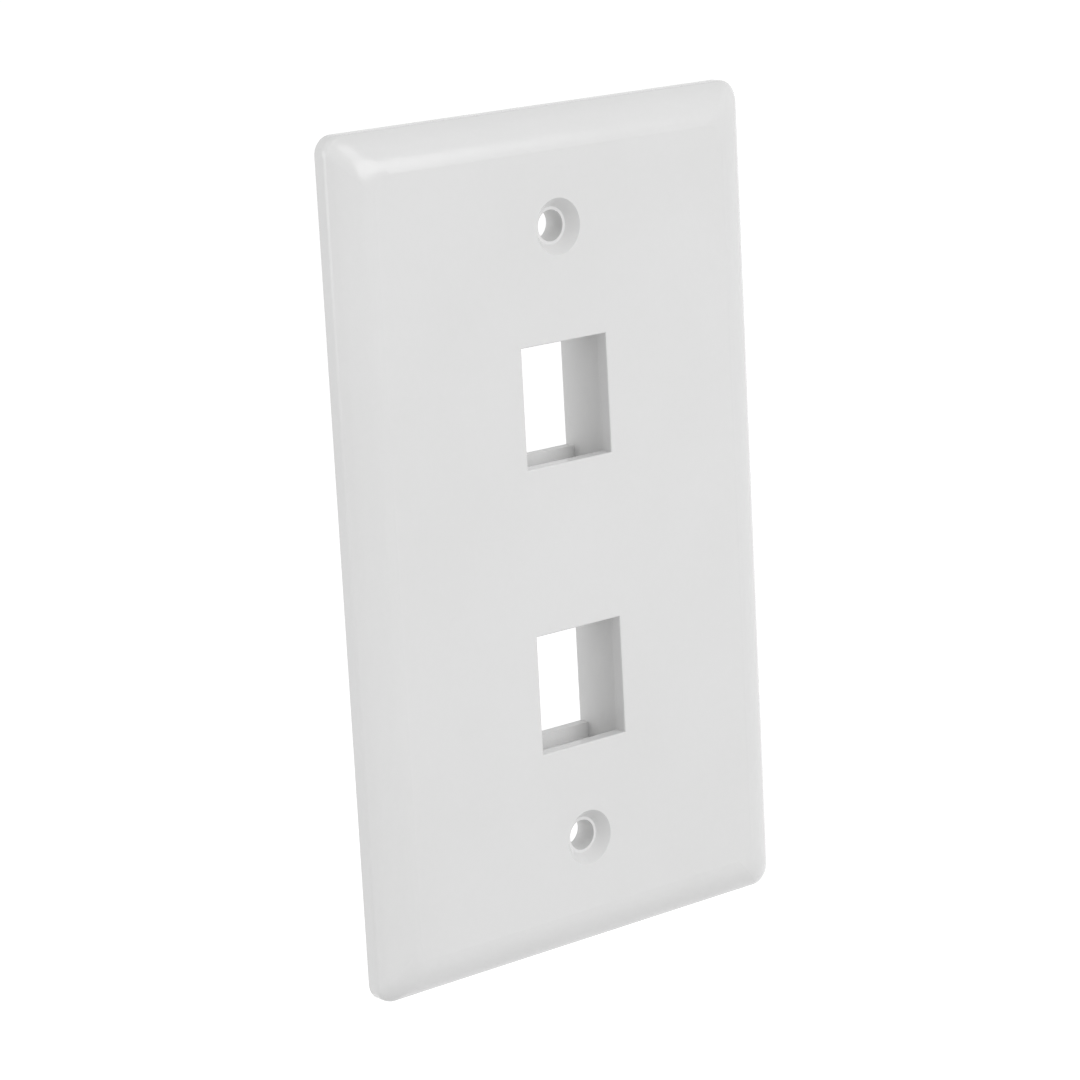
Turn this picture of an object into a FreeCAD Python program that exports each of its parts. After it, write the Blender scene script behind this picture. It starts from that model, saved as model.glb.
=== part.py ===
import FreeCAD, Part
import math
import os
import Sketcher

# Two-port keystone faceplate, one moulding. Millimetres.
# The plate stands on edge: X to the right, Z up, the front looks along -Y.
# Y = 0 is the wall plane, where the back rim of the plate sits.

SIZES = [
    # outside form
    ("plate_width", "69.85"),
    ("plate_tall", "114.3"),
    ("plate_front", "5.2"),
    ("plate_edge", "2.1"),
    ("plate_shoulder", "5.4"),
    ("plate_corner", "2.5"),
    ("shoulder_break", "1.0"),
    ("rim_break", "0.3"),
    ("wall", "1.8"),
    # keystone ports
    ("port_width", "14.5"),
    ("port_tall", "16.16"),
    ("port_pitch", "38.8"),
    ("port_depth", "9.4"),
    ("catch_thick", "1.6"),
    ("foot_recess", "2.0"),
    ("latch_recess", "4.0"),
    ("latch_catch", "2.0"),
    ("collar_wall", "1.4"),
    ("port_break", "0.2"),
    # screw holes
    ("screw_spacing", "83.34"),
    ("screw_bore", "4.2"),
    ("sink_width", "7.5"),
    ("sink_floor", "5.0"),
    ("sink_deep", "1.6"),
    ("boss_width", "7.4"),
    ("boss_deep", "5.0"),
    # stiffening ribs
    ("rib_thick", "1.2"),
    ("rib_tall", "2.2"),
    ("rib_root", "0.3"),
    # hollow behind the front wall, one wall thickness inside the outside form
    ("hollow_width", "=plate_width - 2 * wall"),
    ("hollow_tall", "=plate_tall - 2 * wall"),
    ("hollow_front", "=plate_front - wall"),
    ("hollow_shoulder", "=plate_shoulder - wall"),
    ("hollow_corner", "=plate_corner - wall"),
    # the shoulder's arc: its radius, the depth of its centre, and how far it turns
    ("plate_rise", "=plate_front - plate_edge"),
    ("plate_arc", "=(plate_shoulder ^ 2 + plate_rise ^ 2) / (2 * plate_rise)"),
    ("hollow_arc", "=plate_arc - wall"),
    ("hub", "=plate_front - plate_arc"),
    ("plate_turn", "=asin(plate_shoulder / plate_arc)"),
    ("hollow_turn", "=asin(hollow_shoulder / hollow_arc)"),
    ("hollow_edge", "=hub + hollow_arc * cos(hollow_turn)"),
    # lengths that follow from the port, with the pair of collars centred on the plate
    ("collar_rise", "=(latch_recess - foot_recess) / 2"),
    ("port_upper", "=port_pitch / 2 - collar_rise"),
    ("collar_width", "=port_width + 2 * collar_wall"),
    ("recess_tall", "=port_tall + foot_recess + latch_recess"),
    ("collar_tall", "=recess_tall + 2 * collar_wall"),
    ("recess_middle", "=port_upper + collar_rise"),
    ("recess_deep", "=port_depth - wall - catch_thick"),
    ("mouth_rise", "=latch_recess - latch_catch"),
    ("mouth_tall", "=port_tall + mouth_rise"),
    ("mouth_middle", "=port_upper + mouth_rise / 2"),
    ("rib_span", "=hollow_width + 2 * rib_root"),
]

MARGIN = 1.0  # how far a cutting profile runs past the material it cuts
STEPS = 4  # how many steps the shoulder is lofted in


def make_sheet(doc):
    sheet = doc.addObject("Spreadsheet::Sheet", "sizes")
    for row, (name, value) in enumerate(SIZES, start=1):
        sheet.set("A%d" % row, name)
        sheet.set("B%d" % row, value)
        sheet.setAlias("B%d" % row, name)
    doc.recompute()
    return sheet


def origin_part(body, role):
    for feature in body.Origin.OriginFeatures:
        if feature.Role == role:
            return feature
    raise ValueError(role)


def new_sketch(body, name, role, offsets):
    """An empty sketch on one of the body's origin planes, moved by expressions."""
    sketch = body.newObject("Sketcher::SketchObject", name)
    sketch.AttachmentSupport = [(origin_part(body, role), "")]
    sketch.MapMode = "FlatFace"
    for axis, expression in offsets.items():
        sketch.setExpression("AttachmentOffset.Base." + axis, expression)
    return sketch


def add_named(sketch, label, constraint, expression):
    index = sketch.addConstraint(constraint)
    sketch.renameConstraint(index, label)
    sketch.setExpression("Constraints." + label, expression)


def add_rectangle(sketch, wide, tall):
    """A rectangle centred on the sketch's own origin."""
    corners = [(-5, -5), (5, -5), (5, 5), (-5, 5)]
    points = [FreeCAD.Vector(x, y, 0) for x, y in corners]
    lines = []
    for n in range(4):
        line = Part.LineSegment(points[n], points[(n + 1) % 4])
        lines.append(sketch.addGeometry(line, False))
    for n in range(4):
        joint = Sketcher.Constraint("Coincident", lines[n], 2, lines[(n + 1) % 4], 1)
        sketch.addConstraint(joint)
    for n in (0, 2):
        sketch.addConstraint(Sketcher.Constraint("Horizontal", lines[n]))
    for n in (1, 3):
        sketch.addConstraint(Sketcher.Constraint("Vertical", lines[n]))
    centred = Sketcher.Constraint("Symmetric", lines[0], 1, lines[2], 1, -1, 1)
    sketch.addConstraint(centred)
    across = Sketcher.Constraint("DistanceX", lines[0], 1, lines[0], 2, 10.0)
    upright = Sketcher.Constraint("DistanceY", lines[1], 1, lines[1], 2, 10.0)
    add_named(sketch, "wide", across, wide)
    add_named(sketch, "tall", upright, tall)


def add_circle(sketch, across):
    ring = Part.Circle(FreeCAD.Vector(0, 0, 0), FreeCAD.Vector(0, 0, 1), 3.0)
    circle = sketch.addGeometry(ring, False)
    sketch.addConstraint(Sketcher.Constraint("Coincident", circle, 3, -1, 1))
    add_named(sketch, "across", Sketcher.Constraint("Diameter", circle, 6.0), across)


def add_outline(sketch, form, drop):
    """The outline of a form with its round corners, less a drop in width and height."""
    radius = sizes.get(form + "_corner")
    right, top = sizes.get(form + "_width") / 2, sizes.get(form + "_tall") / 2
    x, y = right - radius, top - radius
    arcs = []
    for n, hub in enumerate([(x, -y), (x, y), (-x, y), (-x, -y)]):
        ring = Part.Circle(FreeCAD.Vector(*hub, 0), FreeCAD.Vector(0, 0, 1), radius)
        start = (n - 1) * math.pi / 2
        arc = Part.ArcOfCircle(ring, start, start + math.pi / 2)
        arcs.append(sketch.addGeometry(arc, False))
    lines = []
    for arc, following in zip(arcs, arcs[1:] + arcs[:1]):
        ends = sketch.getPoint(arc, 2), sketch.getPoint(following, 1)
        lines.append(sketch.addGeometry(Part.LineSegment(*ends), False))
    for n in range(4):
        following = arcs[(n + 1) % 4]
        sketch.addConstraint(Sketcher.Constraint("Tangent", arcs[n], 2, lines[n], 1))
        sketch.addConstraint(Sketcher.Constraint("Tangent", lines[n], 2, following, 1))
    for n in (0, 2):
        sketch.addConstraint(Sketcher.Constraint("Vertical", lines[n]))
    for n in (1, 3):
        sketch.addConstraint(Sketcher.Constraint("Horizontal", lines[n]))
    for arc in arcs[1:]:
        sketch.addConstraint(Sketcher.Constraint("Equal", arcs[0], arc))
    centred = Sketcher.Constraint("Symmetric", arcs[0], 3, arcs[2], 3, -1, 1)
    sketch.addConstraint(centred)
    across = Sketcher.Constraint("DistanceX", lines[2], 1, lines[0], 1, 2 * right)
    upright = Sketcher.Constraint("DistanceY", lines[3], 1, lines[1], 1, 2 * top)
    rounding = Sketcher.Constraint("Radius", arcs[0], radius)
    add_named(sketch, "wide", across, "sizes.%s_width - %s" % (form, drop))
    add_named(sketch, "tall", upright, "sizes.%s_tall - %s" % (form, drop))
    add_named(sketch, "corner", rounding, "sizes.%s_corner" % form)


def cut(body, name, sketch, length):
    pocket = body.newObject("PartDesign::Pocket", name)
    pocket.Profile = sketch
    pocket.setExpression("Length", length)
    return pocket


def pad(body, name, sketch, length, backwards):
    feature = body.newObject("PartDesign::Pad", name)
    feature.Profile = sketch
    feature.Reversed = backwards
    feature.setExpression("Length", length)
    return feature


def mirrored(body, name, features, role):
    """The same features again on the other side of one of the body's planes."""
    copy = body.newObject("PartDesign::Mirrored", name)
    copy.Originals = features
    copy.MirrorPlane = (origin_part(body, role), [""])
    body.Tip = copy
    return copy


def soften(body, name, feature, chosen, radius):
    """Round every edge of a feature's solid that the test chosen picks out."""
    picked = []
    for n, edge in enumerate(feature.Shape.Edges, start=1):
        if chosen(edge):
            picked.append("Edge%d" % n)
    fillet = body.newObject("PartDesign::Fillet", name)
    fillet.Base = (feature, picked)
    fillet.setExpression("Radius", radius)
    return fillet


def shoulder_level(body, form, n):
    """The outline of a form at one of the levels of its shoulder.

    The levels lie on the shoulder's arc, from the flat front (n = 0) to the foot of
    the shoulder (n = STEPS). The corners keep one radius at all of them.
    """
    arc = "sizes.%s_arc" % form
    turn = "(sizes.%s_turn * %d / %d)" % (form, n, STEPS)
    depth = "sizes.hub + %s * cos%s" % (arc, turn)
    sketch = new_sketch(body, "%s_level_%d" % (form, n), "XZ_Plane", {"z": depth})
    add_outline(sketch, form, "2 * (sizes.%s_shoulder - %s * sin%s)" % (form, arc, turn))
    return sketch


def dished_form(doc, form):
    """A flat form with round corners and a rounded shoulder all the way round.

    The outside of the plate and the hollow inside it are both made this way: a
    straight edge from the wall plane to the foot of the shoulder, and the shoulder
    lofted through its levels.
    """
    body = doc.addObject("PartDesign::Body", form)
    levels = [shoulder_level(body, form, n) for n in range(STEPS, -1, -1)]
    pad(body, form + "_straight", levels[0], "sizes.%s_edge" % form, True)
    loft = body.newObject("PartDesign::AdditiveLoft", form + "_loft")
    loft.Profile = levels[0]
    loft.Sections = levels[1:]
    return body


def hollow_out(doc, body):
    """Take the hollow out of the back, so that one wall thickness is left."""
    tool = dished_form(doc, "hollow")
    hollowing = body.newObject("PartDesign::Boolean", "hollowing")
    hollowing.Type = "Cut"
    hollowing.setObjects([tool])
    body.Tip = hollowing


def bar(body, name, wide, tall, level):
    """A low rib standing on the back of the front wall."""
    sketch = new_sketch(body, name, "XZ_Plane", {"z": "sizes.hollow_front", "y": level})
    add_rectangle(sketch, wide, tall)
    return pad(body, name + "_rib", sketch, "sizes.rib_tall", True)


def slot(body, name, wide, tall, level, depth, length):
    """A straight rectangular cut that starts at a depth behind the front face."""
    offsets = {"z": "sizes.plate_front - " + depth, "y": level}
    sketch = new_sketch(body, name, "XZ_Plane", offsets)
    add_rectangle(sketch, wide, tall)
    return cut(body, name + "_cut", sketch, length)


def add_ports(body):
    """A collar with its latching window behind each port, and the port itself.

    The window is taller than the port at both ends. The catch that closes it at
    the back is level with the foot of the port and stands clear of its head, so
    that a jack hooks in at the foot and snaps in at the head.
    """
    middle = "sizes.recess_middle"
    base = new_sketch(body, "collar", "XZ_Plane", {"z": "sizes.hollow_front", "y": middle})
    add_rectangle(base, "sizes.collar_width", "sizes.collar_tall")
    tube = pad(body, "collar_tube", base, "sizes.port_depth - sizes.wall", True)
    cross = bar(body, "cross", "sizes.rib_span", "sizes.rib_thick", middle)
    width = "sizes.port_width"
    mouth = slot(
        body, "port", width, "sizes.port_tall", "sizes.port_upper", "0", "sizes.wall"
    )
    window = slot(
        body, "window", width, "sizes.recess_tall", middle, "sizes.wall", "sizes.recess_deep"
    )
    entry = slot(
        body,
        "entry",
        width,
        "sizes.mouth_tall",
        "sizes.mouth_middle",
        "(sizes.port_depth - sizes.catch_thick)",
        "sizes.catch_thick",
    )
    pair = body.newObject("PartDesign::LinearPattern", "port_pair")
    pair.Originals = [tube, cross, mouth, window, entry]
    pair.Direction = (base, ["V_Axis"])
    pair.Reversed = True
    pair.Occurrences = 2
    pair.setExpression("Length", "sizes.port_pitch")
    body.Tip = pair


def sink_profile(body):
    """Half of a screw hole, drawn beside its axis: cone, flat floor, bore."""
    sketch = new_sketch(body, "sink", "YZ_Plane", {"y": "sizes.screw_spacing / 2"})
    face = sizes.get("plate_front")
    floor = face - sizes.get("sink_deep")
    rim, foot = sizes.get("sink_width") / 2, sizes.get("sink_floor") / 2
    bore = sizes.get("screw_bore") / 2
    corners = [
        (-face - MARGIN, 0),
        (-face - MARGIN, rim),
        (-face, rim),
        (-floor, foot),
        (-floor, bore),
        (MARGIN, bore),
        (MARGIN, 0),
    ]
    spots = [FreeCAD.Vector(x, y, 0) for x, y in corners]
    lines = []
    for start, end in zip(spots, spots[1:] + spots[:1]):
        lines.append(sketch.addGeometry(Part.LineSegment(start, end), False))
    for first, second in zip(lines, lines[1:] + lines[:1]):
        sketch.addConstraint(Sketcher.Constraint("Coincident", first, 2, second, 1))
    for n in (0, 3, 5):
        sketch.addConstraint(Sketcher.Constraint("Vertical", lines[n]))
    for n in (1, 4):
        sketch.addConstraint(Sketcher.Constraint("Horizontal", lines[n]))
    for n in (0, 6):
        sketch.addConstraint(Sketcher.Constraint("PointOnObject", lines[n], 1, -1))
    cone = 2
    along = Sketcher.Constraint("DistanceX", lines[cone], 1, -1, 1, face)
    add_named(sketch, "face", along, "sizes.plate_front")
    deep = Sketcher.Constraint("DistanceX", lines[cone], 1, lines[cone], 2, 1.0)
    add_named(sketch, "deep", deep, "sizes.sink_deep")
    wide = Sketcher.Constraint("DistanceY", -1, 1, lines[cone], 1, rim)
    add_named(sketch, "rim", wide, "sizes.sink_width / 2")
    flat = Sketcher.Constraint("DistanceY", -1, 1, lines[cone], 2, foot)
    add_named(sketch, "foot", flat, "sizes.sink_floor / 2")
    through = Sketcher.Constraint("DistanceY", -1, 1, lines[4], 1, bore)
    add_named(sketch, "bore", through, "sizes.screw_bore / 2")
    ahead = Sketcher.Constraint("DistanceX", lines[1], 1, lines[1], 2, MARGIN)
    sketch.addConstraint(ahead)
    behind = Sketcher.Constraint("DistanceX", -1, 1, lines[4], 2, MARGIN)
    sketch.addConstraint(behind)
    return sketch


def add_screw_holes(body):
    offsets = {"z": "sizes.hollow_front", "y": "sizes.screw_spacing / 2"}
    base = new_sketch(body, "boss", "XZ_Plane", offsets)
    add_circle(base, "sizes.boss_width")
    boss = pad(body, "boss_tube", base, "sizes.boss_deep - sizes.wall", True)
    sink = body.newObject("PartDesign::Groove", "sink_turning")
    sink.Profile = sink_profile(body)
    sink.ReferenceAxis = (sink.Profile[0], ["H_Axis"])
    sink.Angle = 360
    mirrored(body, "screw_pair", [boss, sink], "XY_Plane")


def near(value, wanted):
    return abs(value - wanted) < 1e-4


def on_outline(edge, depth):
    """An edge of the plate's outline, at a depth in front of the wall plane."""
    wide = sizes.get("plate_width") / 2
    tall = sizes.get("plate_tall") / 2
    return all(
        near(-vertex.Y, depth) and (near(abs(vertex.X), wide) or near(abs(vertex.Z), tall))
        for vertex in edge.Vertexes
    )


def starts_shoulder(edge):
    return on_outline(edge, sizes.get("plate_edge"))


def meets_wall(edge):
    return on_outline(edge, 0)


def rounds_port(edge):
    """An edge of a port on the front face."""
    front = sizes.get("plate_front")
    wide = sizes.get("port_width") / 2
    return all(
        near(-vertex.Y, front) and near(abs(vertex.X), wide) for vertex in edge.Vertexes
    )


def check(doc):
    """Stop the build if a feature has failed."""
    for item in doc.Objects:
        bad = {"Invalid", "Error"} & set(item.State)
        if bad:
            raise RuntimeError("%s: %s" % (item.Name, item.State))


doc = FreeCAD.newDocument("faceplate")
sizes = make_sheet(doc)
plate = dished_form(doc, "plate")
hollow_out(doc, plate)
bar(plate, "spine", "sizes.rib_thick", "sizes.hollow_tall + 2 * sizes.rib_root", "0")
add_ports(plate)
add_screw_holes(plate)
doc.recompute()
for name, chosen in (
    ("shoulder_break", starts_shoulder),
    ("rim_break", meets_wall),
    ("port_break", rounds_port),
):
    soften(plate, name, plate.Tip, chosen, "sizes." + name)
    doc.recompute()
plate.Label = "faceplate"
check(doc)
if plate.Shape.isNull() or not plate.Shape.isValid() or len(plate.Shape.Solids) != 1:
    raise RuntimeError("the faceplate isn't one sound solid")
os.makedirs("parts", exist_ok=True)
plate.Shape.exportStep("parts/faceplate.step")
print("faceplate", round(plate.Shape.Volume, 1), "mm3", plate.Shape.BoundBox)
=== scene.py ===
"""The two-port faceplate as a gloss white moulding, standing over a pale studio floor."""

import math

import bpy
from mathutils import Matrix, Vector


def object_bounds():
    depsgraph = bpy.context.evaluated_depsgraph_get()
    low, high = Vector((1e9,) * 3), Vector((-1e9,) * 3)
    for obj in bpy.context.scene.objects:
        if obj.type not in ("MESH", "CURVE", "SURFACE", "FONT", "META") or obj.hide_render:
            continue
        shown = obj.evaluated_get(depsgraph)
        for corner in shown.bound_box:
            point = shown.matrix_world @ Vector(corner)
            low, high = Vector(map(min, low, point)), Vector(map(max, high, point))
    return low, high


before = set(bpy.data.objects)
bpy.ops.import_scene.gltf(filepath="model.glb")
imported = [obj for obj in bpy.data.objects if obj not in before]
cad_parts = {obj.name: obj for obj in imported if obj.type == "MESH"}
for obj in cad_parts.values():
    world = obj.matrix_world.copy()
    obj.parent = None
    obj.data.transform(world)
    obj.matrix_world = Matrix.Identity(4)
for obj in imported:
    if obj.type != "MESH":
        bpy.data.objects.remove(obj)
cad_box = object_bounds()

# Lengths are in metres, and the lens in millimetres.

# camera: where it stands, seen from the point it looks at
CAMERA_TURN = math.radians(-39.3)
CAMERA_RISE = math.radians(12.76)
CAMERA_ROLL = math.radians(-3.08)
CAMERA_DISTANCE = 0.5046
CAMERA_LENS = 125.7
CAMERA_AIM = Vector((-0.00165, 0, -0.0008))

# studio: the floor's glow and the world's light are strengths, where 1 is white
WHITE = (1, 1, 1, 1)
FLOOR_SIZE = 12
FLOOR_DROP = 0.12
FLOOR_GREY = (0.7, 0.7, 0.7, 1)
FLOOR_GLOW = 0.65
WORLD_LIGHT = 0.55
LAMP_DISTANCE = 1.2

# patterns in the plastic: a span is the part of a noise that is stretched to full contrast
CLOUD_SIZE, CLOUD_SPAN = 0.03, (0.3, 0.7)
FLECK_SIZE, FLECK_SPAN = 0.0008, (0.35, 0.65)
HAZE_SIZE, HAZE_SPAN = 0.006, (0.35, 0.7)
FINE_DETAIL = 4

# colour of the plastic, from dull (tone 0) to clear (tone 1)
DULL_WHITE = (0.715, 0.715, 0.712, 1)
CLEAR_WHITE = (0.745, 0.745, 0.745, 1)
CLOUD_TONES = (0.5, 1)
FLECK_TONES = (-0.075, 0.075)
# painted shade: how far the core side, the hollow behind the face, is pulled towards dull
CORE_PAINTED_SHADE = 0.4

# gloss of the plastic
SPECULAR_LEVEL = 0.4
GLOSS_ROUGHNESS = 0.18
SATIN_ROUGHNESS = 0.42
HAZE_ROUGHNESS = (0, 0.05)

# relief of the plastic: the width of each pattern and its full depth
WAVE_SIZE, WAVE_DEPTH = 0.018, 0.00004
PEEL_SIZE, PEEL_DEPTH = 0.0012, 0.000002
GRAIN_SIZE, GRAIN_DEPTH = 0.00025, 0.00002

# the side of the plate that the mould's core shaped
WALL = 0.0018
SIDE_BLEND = 0.0003
DEPTH_BLEND = 0.0002

# the ejector pins: those in one quarter of the plate, which the other quarters mirror
PIN_PLACES = ((0.022, 0.01), (0.022, 0.046))
PIN_RADIUS = 0.002
RING_HALF_WIDTH = 0.00015
RING_DEPTH = 0.00006


def direction(turn, rise):
    """The unit vector from the plate towards something at that turn and rise.

    A turn of 0 is straight in front of the plate, and it grows towards the right.
    """
    return Vector((
        math.sin(turn) * math.cos(rise),
        -math.cos(turn) * math.cos(rise),
        math.sin(rise),
    ))


def facing(place, target):
    """The matrix of something at a place that looks at a target."""
    turn = (target - place).to_track_quat("-Z", "Y").to_matrix().to_4x4()
    return Matrix.Translation(place) @ turn


def add_camera():
    """A long lens that looks at the face from the left and a little above."""
    data = bpy.data.cameras.new("camera")
    data.lens = CAMERA_LENS
    camera = bpy.data.objects.new("camera", data)
    bpy.context.scene.collection.objects.link(camera)
    place = CAMERA_AIM + CAMERA_DISTANCE * direction(CAMERA_TURN, CAMERA_RISE)
    camera.matrix_world = facing(place, CAMERA_AIM) @ Matrix.Rotation(CAMERA_ROLL, 4, "Z")
    bpy.context.scene.camera = camera


def add_softbox(name, turn, rise, size, level):
    """A panel of light at a turn and rise in degrees.

    The level is about what it adds to a white card at the plate.
    """
    data = bpy.data.lights.new(name, "AREA")
    data.shape = "RECTANGLE"
    data.size, data.size_y = size
    data.energy = level * (math.pi * LAMP_DISTANCE) ** 2
    light = bpy.data.objects.new(name, data)
    bpy.context.scene.collection.objects.link(light)
    place = LAMP_DISTANCE * direction(math.radians(turn), math.radians(rise))
    light.matrix_world = facing(place, Vector((0, 0, 0)))


def math_node(tree, operation, first, second=0.0):
    """A Math node; each operand is a plain number or another node's output."""
    node = tree.nodes.new("ShaderNodeMath")
    node.operation = operation
    for socket, operand in zip(node.inputs, (first, second)):
        if isinstance(operand, bpy.types.NodeSocket):
            tree.links.new(operand, socket)
        else:
            socket.default_value = operand
    return node.outputs[0]


def ramp_node(tree, value, ends, levels, smooth=True):
    """Map a value between two ends onto two levels, and hold it there outside them."""
    node = tree.nodes.new("ShaderNodeMapRange")
    if smooth:
        node.interpolation_type = "SMOOTHSTEP"
    tree.links.new(value, node.inputs["Value"])
    node.inputs["From Min"].default_value, node.inputs["From Max"].default_value = ends
    node.inputs["To Min"].default_value, node.inputs["To Max"].default_value = levels
    return node.outputs["Result"]


def noise_node(tree, place, size, detail=2):
    """Soft noise from 0 to 1 whose blotches are about size metres across."""
    node = tree.nodes.new("ShaderNodeTexNoise")
    node.inputs["Scale"].default_value = 1 / size
    node.inputs["Detail"].default_value = detail
    tree.links.new(place, node.inputs["Vector"])
    return node.outputs["Fac"]


def bump_node(tree, height, depth, normal=None):
    """Bumps whose full height is depth metres, laid over an earlier normal."""
    node = tree.nodes.new("ShaderNodeBump")
    node.inputs["Distance"].default_value = depth
    tree.links.new(height, node.inputs["Height"])
    if normal:
        tree.links.new(normal, node.inputs["Normal"])
    return node.outputs["Normal"]


def seen_white(tree):
    """1 for what the camera sees directly or through a mirror or glass, else 0."""
    path = tree.nodes.new("ShaderNodeLightPath")
    seen = path.outputs["Is Camera Ray"]
    for ray in ("Is Glossy Ray", "Is Transmission Ray"):
        seen = math_node(tree, "MAXIMUM", seen, path.outputs[ray])
    return seen


def set_world():
    """A world that looks white and lights the plate at a lower level."""
    world = bpy.data.worlds.new("studio")
    bpy.context.scene.world = world
    world.use_nodes = True
    tree = world.node_tree
    background = tree.nodes["Background"]
    background.inputs["Color"].default_value = WHITE
    level = ramp_node(tree, seen_white(tree), (0, 1), (WORLD_LIGHT, 1), smooth=False)
    tree.links.new(level, background.inputs["Strength"])


def pale_paint():
    """Matt paint for the floor, which glows up to white where the camera sees it."""
    material = bpy.data.materials.new("pale_floor")
    material.use_nodes = True
    tree = material.node_tree
    shader = tree.nodes["Principled BSDF"]
    shader.inputs["Base Color"].default_value = FLOOR_GREY
    shader.inputs["Roughness"].default_value = 1
    shader.inputs["Specular IOR Level"].default_value = 0
    shader.inputs["Emission Color"].default_value = WHITE
    glow = math_node(tree, "MULTIPLY", seen_white(tree), FLOOR_GLOW)
    tree.links.new(glow, shader.inputs["Emission Strength"])
    return material


def add_floor():
    """A wide floor a little way below the foot of the plate."""
    low = cad_box[0][2] - FLOOR_DROP
    bpy.ops.mesh.primitive_plane_add(size=FLOOR_SIZE, location=(0, 0, low))
    floor = bpy.context.object
    floor.name = "floor"
    floor.data.materials.append(pale_paint())


def core_side(tree, across, depth, up):
    """1 where the core of the mould shaped the plastic, in the hollow behind the face; there the
    plastic is satin, and its colour is darkened as painted shade.
    """
    wide, tall = cad_box[1][0] - WALL, cad_box[1][2] - WALL
    front = cad_box[0][1] + WALL
    inside = ramp_node(tree, across, (wide - SIDE_BLEND, wide), (1, 0))
    within = ramp_node(tree, up, (tall - SIDE_BLEND, tall), (1, 0))
    behind = ramp_node(tree, depth, (front - DEPTH_BLEND, front), (0, 1))
    both = math_node(tree, "MULTIPLY", inside, within)
    return math_node(tree, "MULTIPLY", both, behind)


def pin_rings(tree, across, up):
    """1 on the rings that the mould's ejector pins leave, two columns by four rows."""
    rings = 0.0
    for column, row in PIN_PLACES:
        aside = math_node(tree, "SUBTRACT", across, column)
        above = math_node(tree, "SUBTRACT", up, row)
        squares = [math_node(tree, "MULTIPLY", leg, leg) for leg in (aside, above)]
        away = math_node(tree, "SQRT", math_node(tree, "ADD", *squares))
        off_ring = math_node(tree, "ABSOLUTE", math_node(tree, "SUBTRACT", away, PIN_RADIUS))
        ring = ramp_node(tree, off_ring, (0, RING_HALF_WIDTH), (1, 0))
        rings = math_node(tree, "MAXIMUM", ring, rings)
    return rings


def plastic_colour(tree, place, core):
    """Slow clouds where the melt flowed, a faint fleck, and painted shade darkening the core side
    behind the face.
    """
    clouds = noise_node(tree, place, CLOUD_SIZE)
    clouds = ramp_node(tree, clouds, CLOUD_SPAN, CLOUD_TONES)
    fleck = noise_node(tree, place, FLECK_SIZE, FINE_DETAIL)
    fleck = ramp_node(tree, fleck, FLECK_SPAN, FLECK_TONES, smooth=False)
    tone = math_node(tree, "ADD", clouds, fleck)
    # painted shade: darker colour on the core side, in the hollow behind the face
    tone = math_node(tree, "SUBTRACT", tone, math_node(tree, "MULTIPLY", core, CORE_PAINTED_SHADE))
    colour = tree.nodes.new("ShaderNodeValToRGB")
    colour.color_ramp.elements[0].color = DULL_WHITE
    colour.color_ramp.elements[1].color = CLEAR_WHITE
    tree.links.new(tone, colour.inputs["Fac"])
    return colour.outputs["Color"]


def plastic_roughness(tree, place, core):
    """Polished, with softer patches, and satin on the core side."""
    haze = noise_node(tree, place, HAZE_SIZE, FINE_DETAIL)
    haze = ramp_node(tree, haze, HAZE_SPAN, HAZE_ROUGHNESS)
    gloss = math_node(tree, "ADD", haze, GLOSS_ROUGHNESS)
    satin = math_node(tree, "MULTIPLY", core, SATIN_ROUGHNESS - GLOSS_ROUGHNESS)
    return math_node(tree, "ADD", gloss, satin)


def plastic_relief(tree, place, core, rings):
    """Long waves of shrinkage and fine orange peel; spark grain and pin rings on the core side."""
    normal = bump_node(tree, noise_node(tree, place, WAVE_SIZE), WAVE_DEPTH)
    normal = bump_node(tree, noise_node(tree, place, PEEL_SIZE), PEEL_DEPTH, normal)
    grain = math_node(tree, "MULTIPLY", noise_node(tree, place, GRAIN_SIZE), core)
    normal = bump_node(tree, grain, GRAIN_DEPTH, normal)
    rings = math_node(tree, "MULTIPLY", rings, core)
    return bump_node(tree, rings, RING_DEPTH, normal)


def moulded_plastic():
    """Gloss white ABS: polished outside, satin where the core of the mould shaped it."""
    material = bpy.data.materials.new("gloss_white_plastic")
    material.use_nodes = True
    tree = material.node_tree
    place = tree.nodes.new("ShaderNodeTexCoord").outputs["Object"]
    split = tree.nodes.new("ShaderNodeSeparateXYZ")
    tree.links.new(place, split.inputs["Vector"])
    across = math_node(tree, "ABSOLUTE", split.outputs["X"])
    up = math_node(tree, "ABSOLUTE", split.outputs["Z"])
    core = core_side(tree, across, split.outputs["Y"], up)
    rings = pin_rings(tree, across, up)
    shader = tree.nodes["Principled BSDF"]
    shader.inputs["Specular IOR Level"].default_value = SPECULAR_LEVEL
    tree.links.new(plastic_colour(tree, place, core), shader.inputs["Base Color"])
    tree.links.new(plastic_roughness(tree, place, core), shader.inputs["Roughness"])
    tree.links.new(plastic_relief(tree, place, core, rings), shader.inputs["Normal"])
    return material


def dress_faceplate():
    """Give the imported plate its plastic; its shape stays as packed."""
    plastic = moulded_plastic()
    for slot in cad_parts["faceplate"].material_slots:
        slot.material = plastic


add_camera()
set_world()
add_floor()
add_softbox("key_softbox", turn=5, rise=42, size=(0.6, 0.6), level=0.2)
add_softbox("front_panel", turn=20, rise=14, size=(0.8, 0.46), level=0.29)
add_softbox("left_panel", turn=-101, rise=5, size=(0.85, 0.85), level=0.42)
dress_faceplate()
bpy.context.scene.view_settings.view_transform = "Standard"
